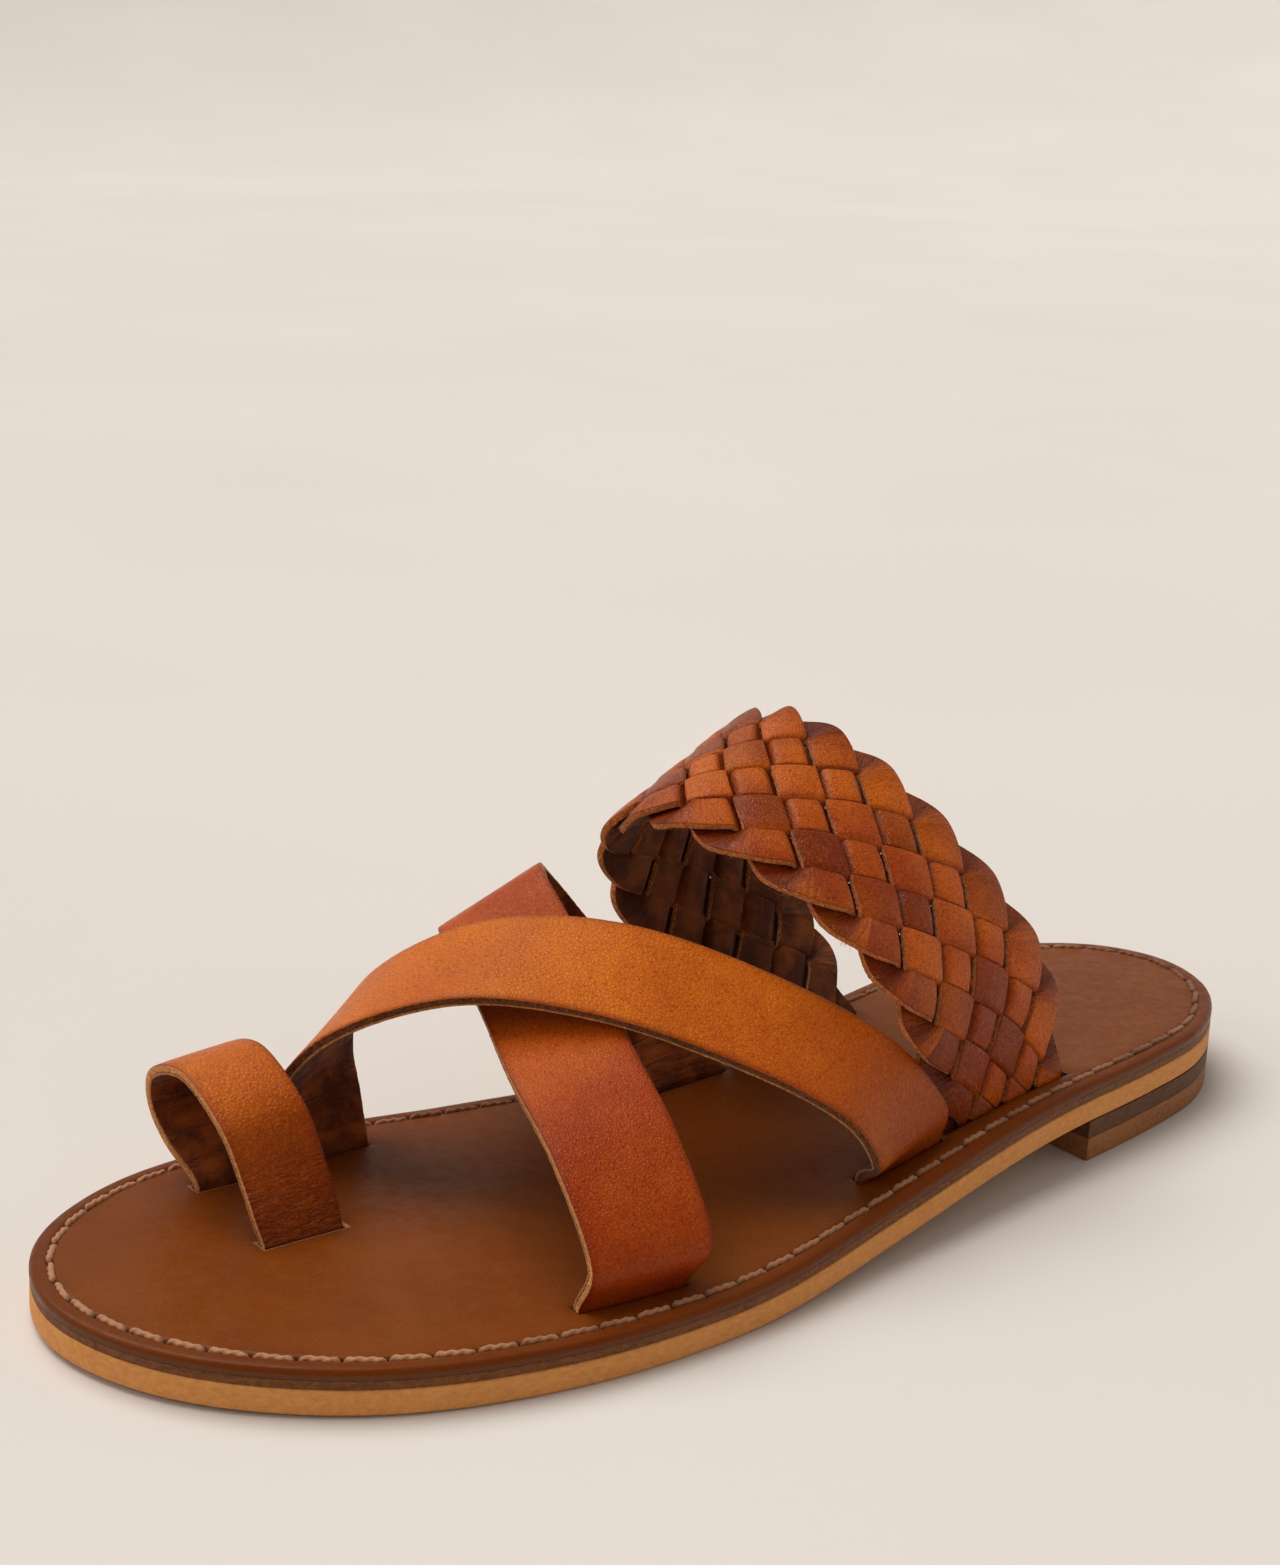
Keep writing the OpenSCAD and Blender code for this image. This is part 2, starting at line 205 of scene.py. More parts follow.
def edge_loop(inset, n=LOOP_N):
    """Outline of the sole, moved in by the inset."""
    t = np.arange(n) / n
    nudge = 0.001
    d = unit(around(OUTLINE, t + nudge) - around(OUTLINE, t - nudge))
    return around(OUTLINE, t) - inset * np.c_[d[:, 1], -d[:, 0]]


def width_share(ends, t):
    """Share of its full width that a strap has at t."""
    low = ends[0] + (1 - ends[0]) * ease(0, NARROWING, t)
    high = ends[1] + (1 - ends[1]) * ease(0, NARROWING, 1 - t)
    return np.where(t < 0.5, low, high)


def strap_point(strap, t, sink):
    """Middle of the outer face; sink is how far below its slot mouth a point is."""
    return along(strap["mid"], t) - sink[:, None] * [0, 0, 1]


def strap_frames(strap, t, sink):
    """Point, width direction and outward direction at each station."""
    point = strap_point(strap, t, sink)
    w = unit(along(strap["across"], t))
    step = 0.006
    ahead = strap_point(strap, np.minimum(t + step, 1), np.where(t + step > 1, sink + 1, sink))
    behind = strap_point(strap, np.maximum(t - step, 0), np.where(t - step < 0, sink + 1, sink))
    return point, w, unit(np.cross(unit(ahead - behind), w))


# ---- mesh helpers ---------------------------------------------------------------


def finish_piece(obj, nodes):
    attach(obj, "root")
    if nodes:
        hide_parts(*nodes)
    return obj


def build(name, points, faces, materials, kinds=None, uv=None, marks=None, sharp=42):
    """Object from points in mm, with smooth faces, sharp edges and point values."""
    mesh = bpy.data.meshes.new(name)
    mesh.from_pydata((np.asarray(points) * MM).tolist(), [], [list(map(int, f)) for f in faces])
    for m in materials:
        mesh.materials.append(m)
    if kinds is not None:
        mesh.polygons.foreach_set("material_index", np.asarray(kinds, np.int32))
    if uv is not None:
        index = np.zeros(len(mesh.loops), np.int32)
        mesh.loops.foreach_get("vertex_index", index)
        layer = mesh.uv_layers.new(name="Along")
        layer.data.foreach_set("uv", (np.asarray(uv) * MM)[index].astype(np.float32).ravel())
    for key, values in (marks or {}).items():
        layer = mesh.attributes.new(key, "FLOAT", "POINT")
        layer.data.foreach_set("value", np.asarray(values, np.float32))
    bm = bmesh.new()
    bm.from_mesh(mesh)
    bmesh.ops.recalc_face_normals(bm, faces=bm.faces)
    limit = math.radians(sharp)
    for face in bm.faces:
        face.smooth = True
    for edge in bm.edges:
        if len(edge.link_faces) == 2:
            edge.smooth = edge.calc_face_angle(0) < limit
    bm.to_mesh(mesh)
    bm.free()
    obj = bpy.data.objects.new(name, mesh)
    bpy.context.scene.collection.objects.link(obj)
    return obj


def tube(rings):
    """Faces of a closed skin through rings of equal length, with both ends capped."""
    m, n = rings.shape[:2]
    i, j = np.meshgrid(np.arange(m - 1), np.arange(n), indexing="ij")
    a = i * n + j
    b = i * n + (j + 1) % n
    sides = np.stack([a, b, b + n, a + n], -1).reshape(-1, 4).tolist()
    return sides + [list(range(n))[::-1], list(range((m - 1) * n, m * n))]


# ---- materials -------------------------------------------------------------------

WARM = (1.0, 0.66, 0.38)  # tint of the gloss on every material
# painted shade in the insole's stitch holes and slot mouths
PAINTED_INSOLE_HOLE_SHADE = (0.012, 0.005, 0.003)
CUT_LIP = (0.60, 0.33, 0.16)
INSOLE_WALL = (0.115, 0.040, 0.018)
# painted shade where the seam thread dives into its holes
PAINTED_THREAD_HOLE_SHADE = (0.03, 0.014, 0.008)


class Shade:
    """A procedural material, built up from short calls."""

    def __init__(self, name, roughness=0.5, coat=0.0, coat_roughness=0.25, sheen=0.0, specular=0.3):
        self.mat = bpy.data.materials.new(name)
        self.mat.use_nodes = True
        self.tree = self.mat.node_tree
        self.bsdf = self.tree.nodes["Principled BSDF"]
        self.bsdf.inputs["Roughness"].default_value = roughness
        self.bsdf.inputs["Coat Weight"].default_value = coat
        self.bsdf.inputs["Coat Roughness"].default_value = coat_roughness
        self.bsdf.inputs["Sheen Weight"].default_value = sheen
        self.bsdf.inputs["Specular IOR Level"].default_value = specular
        self.bsdf.inputs["Specular Tint"].default_value = (*WARM, 1)
        self.coords = self.node("ShaderNodeTexCoord")
        self.place = self.coords.outputs["Object"]
        self.height = None

    def node(self, kind, inputs=None, **settings):
        n = self.tree.nodes.new(kind)
        for key, value in settings.items():
            setattr(n, key, value)
        for key, value in (inputs or {}).items():
            if isinstance(value, bpy.types.NodeSocket):
                self.tree.links.new(value, n.inputs[key])
            else:
                n.inputs[key].default_value = value
        return n

    def noise(self, size, detail=3.0, rough=0.55, where=None, stretch=None, warp=0.0):
        """Noise whose features are about size millimetres across."""
        where = where or self.place
        if stretch:
            where = self.node(
                "ShaderNodeMapping", {"Vector": where, "Scale": stretch}
            ).outputs["Vector"]
        n = self.node(
            "ShaderNodeTexNoise",
            {"Vector": where, "Scale": 1 / (size * MM), "Detail": detail,
             "Roughness": rough, "Distortion": warp},
        )  # fmt: skip
        return n.outputs["Fac"]

    def cells(self, size):
        """Distance to the edges of cells about size millimetres across."""
        n = self.node(
            "ShaderNodeTexVoronoi",
            {"Vector": self.place, "Scale": 1 / (size * MM)},
            feature="DISTANCE_TO_EDGE",
        )
        return n.outputs["Distance"]

    def mark(self, name):
        """Values that a piece's points carry under this name."""
        return self.node("ShaderNodeAttribute", attribute_name=name).outputs["Fac"]

    def remap(self, value, low, high, to_low=0.0, to_high=1.0):
        n = self.node(
            "ShaderNodeMapRange",
            {"Value": value, "From Min": low, "From Max": high,
             "To Min": to_low, "To Max": to_high},
            interpolation_type="SMOOTHSTEP",
        )  # fmt: skip
        return n.outputs["Result"]

    def math(self, how, a, b):
        return self.node("ShaderNodeMath", {0: a, 1: b}, operation=how).outputs["Value"]

    def mix(self, share, a, b):
        n = self.node("ShaderNodeMix", data_type="RGBA")
        for key, value in ((0, share), (6, a), (7, b)):
            if isinstance(value, bpy.types.NodeSocket):
                self.tree.links.new(value, n.inputs[key])
            else:
                n.inputs[key].default_value = (*value, 1) if isinstance(value, tuple) else value
        return n.outputs[2]

    def cover(self, colour, over, value, share):
        """The colour with another over it where the value is high, up to the share."""
        return self.mix(self.math("MULTIPLY", value, share), colour, over)

    def bump(self, value, depth):
        """Adds relief of the given depth in millimetres."""
        inputs = {"Height": value, "Distance": depth * MM, "Strength": 1.0}
        if self.height is not None:
            inputs["Normal"] = self.height
        self.height = self.node("ShaderNodeBump", inputs).outputs["Normal"]

    def done(self, colour, roughness=None):
        self.tree.links.new(colour, self.bsdf.inputs["Base Color"])
        if roughness is not None:
            self.tree.links.new(roughness, self.bsdf.inputs["Roughness"])
        if self.height is not None:
            self.tree.links.new(self.height, self.bsdf.inputs["Normal"])
        return self.mat


def grain_leather(name, light, base, dark, gloss=0.38, coat=0.03, grain=0.75, creases=0.0):
    """Smooth leather: blotchy colour, fine pebble grain and specks. Its marks are
    painted highlight and painted shade along the straps and random tile tone on the
    plait ("tone"), darker edges ("edge"), painted shade where a strap dives into its
    slot or a strand passes under others ("dip"), and creases with painted shade in
    them ("crease")."""
    s = Shade(name, gloss, coat, 0.35, specular=0.22)
    blotch = s.noise(22, 3, 0.5)
    cloud = s.noise(5, 4, 0.6)
    colour = s.mix(s.remap(blotch, 0.35, 0.68), base, light)
    colour = s.cover(colour, dark, s.remap(cloud, 0.42, 0.7), 0.14)
    # on the straps the mark "tone" is painted highlight and painted shade; on the plait it is
    # random tile tone
    tone = s.mark("tone")
    colour = s.mix(s.remap(tone, 0.0, 1.0, 0.0, 0.8), colour, light)
    colour = s.mix(s.remap(tone, 0.0, -1.0, 0.0, 0.62), colour, dark)
    pebble = s.cells(grain)
    valley = s.remap(pebble, 0.0, 0.22, 1.0, 0.0)
    speck = s.noise(0.6, 3, 0.65)
    colour = s.cover(colour, dark, valley, 0.3)
    colour = s.cover(colour, dark, s.remap(speck, 0.53, 0.66), 0.5)
    colour = s.cover(colour, light, s.remap(speck, 0.45, 0.32), 0.3)
    colour = s.cover(colour, dark, s.mark("edge"), 0.75)
    # painted shade where a strap dives into its slot or a strand passes under its neighbours
    colour = s.cover(colour, dark, s.mark("painted_shade"), 0.8)
    s.bump(s.noise(3.2, 2, 0.5), 0.10)
    s.bump(s.remap(pebble, 0.0, 0.3), 0.06)
    s.bump(speck, 0.06)
    fold = s.noise(0.9, 3, 0.65, s.coords.outputs["UV"], (1.0, 0.22, 1.0), 0.4)
    fold = s.math("MULTIPLY", s.remap(fold, 0.35, 0.62), s.mark("crease_with_painted_shade"))
    s.bump(fold, 0.26 + creases)
    # painted shade in the creased stretches and in the troughs of the folds
    colour = s.cover(colour, dark, s.mark("crease_with_painted_shade"), 0.35)
    colour = s.mix(
        s.math("MULTIPLY", s.math("SUBTRACT", s.mark("crease_with_painted_shade"), fold), 0.4), colour, dark
    )
    rough = s.remap(s.noise(1.1, 3, 0.6), 0.3, 0.72, gloss - 0.06, gloss + 0.12)
    return s.done(colour, rough)


def raw_edge(name, light, dark):
    """Cut leather: short fibres and small dark pits."""
    s = Shade(name, 0.85, coat_roughness=0.3, sheen=0.15)
    fibre = s.noise(0.35, 4, 0.7)
    pit = s.noise(0.7, 3, 0.6)
    colour = s.mix(s.remap(fibre, 0.38, 0.62), dark, light)
    colour = s.cover(colour, dark, s.remap(pit, 0.5, 0.66), 0.8)
    s.bump(fibre, 0.18)
    s.bump(pit, 0.15)
    return s.done(colour)


def flesh_side(name, light, dark):
    """Inner face of a strap: napped, with fine wrinkles across it and painted shade in their
    troughs.
    """
    s = Shade(name, 0.8, coat_roughness=0.3, sheen=0.12)
    nap = s.noise(0.5, 4, 0.65)
    tone = s.noise(6, 3, 0.5)
    fold = s.noise(2.4, 4, 0.6, s.coords.outputs["UV"], (1.0, 0.16, 1.0), 0.6)
    fold = s.remap(fold, 0.36, 0.6)
    colour = s.mix(s.remap(tone, 0.35, 0.68), dark, light)
    colour = s.cover(colour, dark, s.remap(nap, 0.45, 0.7), 0.4)
    # painted shade in the troughs of the wrinkles
    fold_shade = s.math("MULTIPLY", s.math("SUBTRACT", 1.0, fold), s.mark("crease_with_painted_shade"))
    colour = s.cover(colour, dark, fold_shade, 0.6)
    s.bump(s.math("MULTIPLY", fold, s.mark("crease_with_painted_shade")), 0.55)
    s.bump(nap, 0.1)
    return s.done(colour)


def board_edge(name, light, dark, roughness=0.6, coat=0.05, layers=0.5):
    """Cut side of a sole layer: short streaks along it, specks and pale blots."""
    s = Shade(name, roughness, coat, 0.35)
    streak = s.noise(1.4, 4, 0.7, None, (1.0, 1.0, 2.0))
    speck = s.noise(0.45, 3, 0.7)
    blot = s.noise(14, 2, 0.5)
    colour = s.mix(s.remap(streak, 0.25, 0.75), dark, light)
    colour = s.cover(colour, dark, s.remap(speck, 0.54, 0.7), layers)
    colour = s.cover(colour, light, s.remap(blot, 0.45, 0.7), 0.25)
    s.bump(streak, 0.06)
    s.bump(speck, 0.06)
    return s.done(colour, s.remap(speck, 0.3, 0.7, roughness - 0.1, roughness + 0.12))


def insole_leather(name, light, base, dark):
    """Polished top leather. Its marks are a darker rim and stitch line with painted shade round the
    slots ("edge"), painted shade in the stitch holes and slot mouths ("dip"), the cut lips of the
    toe loop's slots ("lip") and its sides ("wall")."""
    s = Shade(name, 0.36, 0.02, 0.25, specular=0.16)
    blotch = s.noise(34, 3, 0.55)
    cloud = s.noise(9, 4, 0.6)
    speck = s.noise(0.4, 3, 0.6)
    pore = s.cells(0.9)
    colour = s.mix(s.remap(blotch, 0.36, 0.66), base, light)
    colour = s.cover(colour, dark, s.remap(cloud, 0.4, 0.72), 0.2)
    colour = s.cover(colour, dark, s.remap(speck, 0.52, 0.7), 0.3)
    colour = s.cover(colour, dark, s.remap(pore, 0.0, 0.2, 1.0, 0.0), 0.1)
    # darker rim and stitch line, with painted shade round the slots
    colour = s.cover(colour, dark, s.mark("edge"), 0.7)
    # painted shade in the stitch holes and slot mouths
    colour = s.cover(colour, PAINTED_INSOLE_HOLE_SHADE, s.mark("painted_shade"), 0.92)
    colour = s.cover(colour, CUT_LIP, s.mark("lip"), 0.85)
    colour = s.mix(s.remap(s.mark("wall"), 0.03, 0.3), colour, INSOLE_WALL)
    s.bump(cloud, 0.12)
    s.bump(s.noise(2.2, 3, 0.6), 0.04)
    s.bump(speck, 0.02)
    s.bump(s.remap(pore, 0.0, 0.25), 0.012)
    rough = s.remap(s.noise(2.4, 4, 0.65), 0.3, 0.72, 0.28, 0.5)
    return s.done(colour, rough)


def thread_fibre(name, light, dark):
    """Seam thread, with a painted highlight towards the toe where it carries the mark "toe", and
    painted shade where it dives into its holes.
    """
    s = Shade(name, 0.7, coat_roughness=0.3, sheen=0.2)
    ply = s.noise(0.22, 3, 0.6)
    tone = s.noise(16, 2, 0.5)
    colour = s.mix(s.math("MULTIPLY", s.remap(tone, 0.36, 0.62), 0.5), dark, light)
    # painted highlight: the thread is drawn lighter towards the toe
    colour = s.cover(colour, light, s.mark("toe"), 0.8)
    colour = s.cover(colour, dark, s.remap(ply, 0.45, 0.7), 0.5)
    # painted shade where the thread dives into its holes
    colour = s.cover(colour, PAINTED_THREAD_HOLE_SHADE, s.mark("painted_shade"), 0.85)
    s.bump(ply, 0.05)
    return s.done(colour)


tan_grain = grain_leather(
    "tan_grain_leather", (0.68, 0.165, 0.006), (0.54, 0.105, 0.003), (0.17, 0.016, 0.001),
    creases=0.3,
)
red_grain = grain_leather(
    "red_tan_grain_leather", (0.54, 0.092, 0.004), (0.39, 0.044, 0.002), (0.13, 0.009, 0.001),
    gloss=0.35, grain=0.6,
)  # fmt: skip
plait_grain = grain_leather(
    "plait_grain_leather", (0.64, 0.130, 0.005), (0.38, 0.044, 0.002), (0.080, 0.006, 0.001),
    gloss=0.32, coat=0.06, grain=0.6, creases=0.06,
)  # fmt: skip
edge_tan = raw_edge("raw_edge_tan", (0.85, 0.40, 0.11), (0.42, 0.13, 0.022))
edge_brown = raw_edge("raw_edge_brown", (0.23, 0.070, 0.018), (0.045, 0.010, 0.003))
edge_pale = raw_edge("raw_edge_pale", (0.62, 0.30, 0.09), (0.28, 0.10, 0.025))
edge_strand = raw_edge("raw_edge_strand", (0.74, 0.27, 0.07), (0.30, 0.06, 0.01))
back_brown = flesh_side("flesh_side_brown", (0.36, 0.076, 0.008), (0.09, 0.012, 0.001))
back_plait = flesh_side("flesh_side_plait", (0.24, 0.056, 0.008), (0.075, 0.013, 0.002))
insole_top = insole_leather(
    "insole_brown_leather", (0.215, 0.051, 0.004), (0.185, 0.041, 0.004), (0.10, 0.016, 0.001)
)
midsole_side = board_edge("midsole_dark_board", (0.20, 0.072, 0.026), (0.085, 0.027, 0.010))
outsole_side = board_edge(
    "outsole_tan_board", (0.66, 0.30, 0.095), (0.52, 0.205, 0.054), 0.65, 0.0, 0.3
)
lift_side = board_edge("heel_lift_dark_board", (0.120, 0.052, 0.024), (0.055, 0.022, 0.011))
tip_side = board_edge("heel_top_piece_brown", (0.32, 0.13, 0.044), (0.19, 0.066, 0.022))
seam_thread = thread_fibre("seam_thread", (0.52, 0.25, 0.13), (0.19, 0.072, 0.030))

# ---- sole -------------------------------------------------------------------------

CLEAR = 0.15  # gap between a strap and the mouth of its slot
SLOT_STEP = 0.5  # distance between points of a slot mouth
WALL_ROWS = (0.33, 0.67)  # rows of points down a layer's wall, as shares of it
GROOVE_DEPTH, GROOVE_W = 0.34, 0.62
HOLE_DEPTH, HOLE_R = 0.55, 0.42
RIM_FALL, RIM_REACH = 0.22, 2.6
LIP_FALL, LIP_REACH = 0.3, 0.9
DISHING = 0.10  # slow waves in the face of the insole


def slot_shape(strap, end, grow=0.0):
    """Rectangle of a slot mouth, counted round, grown by a margin."""
    t = np.array([float(end)])
    p = along(strap["mid"], t)[0][:2]
    w = unit(along(strap["across"], t)[0][:2])
    out = np.array([w[1], -w[0]]) * (1 if end else -1)
    half = strap["width"] * strap["ends"][end] / 2 + CLEAR + grow
    near, far = CLEAR + grow, -strap["thick"] - CLEAR - grow
    corners = [(near, -half), (near, half), (far, half), (far, -half)]
    loop = []
    for k in range(4):
        a, b = np.array(corners[k]), np.array(corners[(k + 1) % 4])
        n = max(2, int(np.linalg.norm(b - a) / SLOT_STEP))
        loop += [a + (b - a) * i / n for i in range(n)]
    return np.array([p + out * x + w * y for x, y in loop])


def inside(poly, pts):
    """Which points lie inside a closed polygon."""
    hit = np.zeros(len(pts), bool)
    a, b = poly, np.roll(poly, -1, 0)
    for (ax, ay), (bx, by) in zip(a, b):
        if ay == by:
            continue
        cross = (ay > pts[:, 1]) != (by > pts[:, 1])
        x = ax + (pts[:, 1] - ay) * (bx - ax) / (by - ay)
        hit ^= cross & (pts[:, 0] < x)
    return hit


def nearest(pts, loop):
    """Distance from each point to the nearest point of a loop."""
    return np.concatenate(
        [
            np.sqrt(((chunk[:, None] - loop[None]) ** 2).sum(-1)).min(1)
            for chunk in np.array_split(pts, max(1, len(pts) // 2000))
        ]
    )


def sheet(loops, holes=(), extra=(), gap=4.0):
    """Flat triangulated sheet inside loops[0], less the holes, with the other
    loops and the extra loops as lines of points. Returns points and triangles."""
    points, edges = [], []
    for loop in (*loops, *holes, *extra):
        first, n = len(points), len(loop)
        points += loop.tolist()
        edges += [(first + i, first + (i + 1) % n) for i in range(n)]
    low, high = loops[0].min(0), loops[0].max(0)
    off_line = 0.013  # keeps the grid off the points of the loops
    rows, columns = (np.arange(low[i], high[i], gap) for i in (0, 1))
    grid = np.stack(np.meshgrid(rows, columns), -1).reshape(-1, 2) + [0, off_line]
    grid = grid[inside(loops[-1], grid)]
    points += grid.tolist()
    made = delaunay_2d_cdt([Vector(p) for p in points], edges, [], 0, 1e-5)
    pts = np.array([tuple(p) for p in made[0]])
    tris = np.array([f for f in made[2] if len(f) == 3])
    centre = pts[tris].mean(1)
    keep = inside(loops[0], centre)
    for hole in holes:
        keep &= ~inside(hole, centre)
    return pts, tris[keep]


def rim_of(tris):
    """Directed boundary edges of a triangulated sheet."""
    pairs = np.concatenate([tris[:, [0, 1]], tris[:, [1, 2]], tris[:, [2, 0]]])
    seen = {tuple(p) for p in pairs.tolist()}
    return np.array([p for p in seen if (p[1], p[0]) not in seen])


def board(name, loop, low, high, material, nodes, top_r=0.3, low_r=0.3, holes=(), extra=(),
          relief=None, marks=None, gap=4.0):  # fmt: skip
    """One sole layer: a top and a bottom sheet with rounded rims, joined by walls.
    loop(inset) gives its outline, low(y) and high(y) its heights, relief its top's
    shape, and marks the rules for the values of the top's points."""
    turns = np.radians(np.linspace(0, 90, 5))
    out = loop(0.0)

    def face(radius, height, sign, cuts, lines, shape):
        insets = [radius * (1 - math.cos(a)) for a in turns]
        pts, tris = sheet([loop(i) for i in insets], cuts, lines, gap)
        d = nearest(pts, out)
        d[d < 1e-3] = 0
        round_off = radius - np.sqrt(np.maximum(radius**2 - np.maximum(radius - d, 0) ** 2, 0))
        z = height(pts[:, 1]) - sign * round_off
        if shape is not None:
            z = z + shape(pts, d)
        return np.c_[pts, z], tris, d

    top, top_tris, top_d = face(top_r, high, 1, holes, extra, relief)
    base, base_tris, base_d = face(low_r, low, -1, (), (), None)
    points, faces = [top, base], top_tris.tolist()
    faces += (base_tris[:, ::-1] + len(top)).tolist()

    # outer wall: from the top rim to the bottom rim, both in the order of the outline
    def ordered(pts, d):
        rim = np.nonzero(d == 0)[0]
        near = [int(np.argmin(((pts[rim, :2] - q) ** 2).sum(1))) for q in out]
        return rim[near]

    upper, lower = ordered(top, top_d), ordered(base, base_d) + len(top)
    rows = [upper]
    count = len(top) + len(base)
    stack = np.vstack([top, base])
    for share in WALL_ROWS:
        rows.append(np.arange(count, count + len(out)))
        points.append(stack[upper] * (1 - share) + stack[lower] * share)
        count += len(out)
    rows.append(lower)
    n = len(out)
    for a, b in zip(rows, rows[1:]):
        faces += [(a[i], a[(i + 1) % n], b[(i + 1) % n], b[i]) for i in range(n)]

    # slot walls: straight down from the mouth
    if len(holes):
        rim = rim_of(top_tris)
        rim = rim[(top_d[rim] > 0).all(1)]
        used = np.unique(rim)
        place = {int(v): count + i for i, v in enumerate(used)}
        deep = top[used].copy()
        deep[:, 2] = low(deep[:, 1])
        points.append(deep)
        faces += [(a, b, place[b], place[a]) for a, b in rim.tolist()]
        count += len(used)
    points = np.vstack(points)
    values = {}
    for key, rule in (marks or {}).items():
        v = np.zeros(len(points))
        v[: len(top)] = rule(top, top_d)
        values[key] = v
    values["wall"] = np.r_[np.zeros(len(top)), np.ones(len(points) - len(top))]
    obj = build(name, points, faces, [material], marks=values)
    return finish_piece(obj, nodes)


seam = edge_loop(STITCH_INSET, 4 * LOOP_N)
seam_steps = np.r_[0, np.cumsum(np.linalg.norm(np.roll(seam, -1, 0) - seam, axis=1))]
SEAM_LEN = seam_steps[-1]
STITCHES = round(SEAM_LEN / STITCH_PITCH)
PITCH = SEAM_LEN / STITCHES


def seam_at(s):
    closed = np.vstack([seam, seam[:1]])
    s = np.asarray(s) % SEAM_LEN
    return np.c_[[np.interp(s, seam_steps, closed[:, k]) for k in (0, 1)]].T


stitch_holes = seam_at(PITCH * np.arange(STITCHES))
straps = (TOE, OVER, UNDER, PLAIT)
slots = [slot_shape(s, end) for s in straps for end in (0, 1)]
lips = [slot_shape(s, end, g) for s in straps for end in (0, 1) for g in (0.35, 0.8)]
slot_points = np.vstack(slots)


def insole_relief(pts, d):
    """Height added to the insole's top at a distance d from its rim."""
    groove = -GROOVE_DEPTH * bell(d - STITCH_INSET, GROOVE_W)
    shoulder = -RIM_FALL * fade(d, RIM_REACH) ** 2
    holes = -HOLE_DEPTH * bell(nearest(pts, stitch_holes), HOLE_R)
    lip = -LIP_FALL * fade(nearest(pts, slot_points), LIP_REACH) ** 2
    wave = DISHING * np.sin(pts[:, 0] / 9.0 + 1.3) * np.sin(pts[:, 1] / 13.0 + 0.4)
    return groove + shoulder + holes + lip + wave * np.clip(d / 8, 0, 1)


def insole_rim_and_slot_shade(top, d):
    rim = fade(d, 6.5) ** 1.5
    press = 0.6 * bell(d - STITCH_INSET, 0.8)
    # painted shade on the insole round the slots, where the straps rise out of it
    painted_slot_shade = 0.55 * fade(nearest(top[:, :2], slot_points), 3.0) ** 2
    return np.clip(np.maximum(rim, press) + painted_slot_shade, 0, 1)


def insole_painted_shade(top, d):
    # painted shade, near black, in the stitch holes and at the slot mouths
    hole = bell(nearest(top[:, :2], stitch_holes), 0.55)
    mouth = fade(nearest(top[:, :2], slot_points), 0.5)
    return np.clip(hole + 0.8 * mouth, 0, 1)


toe_mouths = np.vstack([slot_shape(TOE, end, 0.25) for end in (0, 1)])


def insole_lip(top, d):
    return fade(nearest(top[:, :2], toe_mouths), 0.45)


groove_lines = [edge_loop(i) for i in np.linspace(STITCH_INSET - 1.2, STITCH_INSET + 1.2, 9)]
board(
    "insole_leather_board", edge_loop, lambda y: top_z(y) - INSOLE_T, top_z, insole_top,
    ["insole"], top_r=0.75, low_r=0.25, holes=slots,
    extra=[*groove_lines, *lips], relief=insole_relief,
    marks={"edge": insole_rim_and_slot_shade, "painted_shade": insole_painted_shade, "lip": insole_lip}, gap=2.5,
)  # fmt: skip
board(
    "midsole_board", lambda i: edge_loop(i + 0.15), lambda y: under_z(y) + OUTSOLE_T,
    lambda y: under_z(y) + OUTSOLE_T + MIDSOLE_T, midsole_side, ["midsole"],
    top_r=0.2, low_r=0.2,
)  # fmt: skip
board(
    "outsole_board", edge_loop, under_z, lambda y: under_z(y) + OUTSOLE_T, outsole_side,
    ["outsole"], top_r=0.35, low_r=0.6,
)  # fmt: skip


def heel_loop(inset):
    """Outline of the heel: the back of the sole, cut straight across at the breast."""
    base = edge_loop(inset)
    breast = HEEL_BREAST_Y + inset
    back = base[base[:, 1] > breast]
    start = int(np.argmax(np.linalg.norm(np.roll(back, 1, 0) - back, axis=1)))
    back = np.roll(back, -start, 0)
    a = np.array([back[-1, 0], breast])
    b = np.array([back[0, 0], breast])
    ring = np.vstack([b, back, a])
    ring = np.vstack([ring, ring[:1]])
    walked = np.r_[0, np.cumsum(np.linalg.norm(np.diff(ring, axis=0), axis=1))]
    at = np.arange(720) / 720 * walked[-1]
    return np.c_[np.interp(at, walked, ring[:, 0]), np.interp(at, walked, ring[:, 1])]


board(
    "heel_lift_board", heel_loop, lambda y: HEEL_TOP_T + 0 * y, under_z, lift_side,
    ["heel_lift"], top_r=0.15, low_r=0.2,
)  # fmt: skip
board(
    "heel_top_piece_board", heel_loop, lambda y: 0 * y, lambda y: HEEL_TOP_T + 0 * y, tip_side,
    ["heel_top_piece"], top_r=0.2, low_r=0.5,
)  # fmt: skip

# ---- seam ---------------------------------------------------------------------------

# The thread is drawn a little fuller, and its stitches longer, than in the CAD.
THREAD_SWELL = 1.18
STITCH_HALF = 0.45  # half the length of a stitch, as a share of the pitch
STITCH_SLANT = 0.22
STITCH_TWIST = 5.2
THREAD_SINK, THREAD_DIVE = 0.12, 0.95


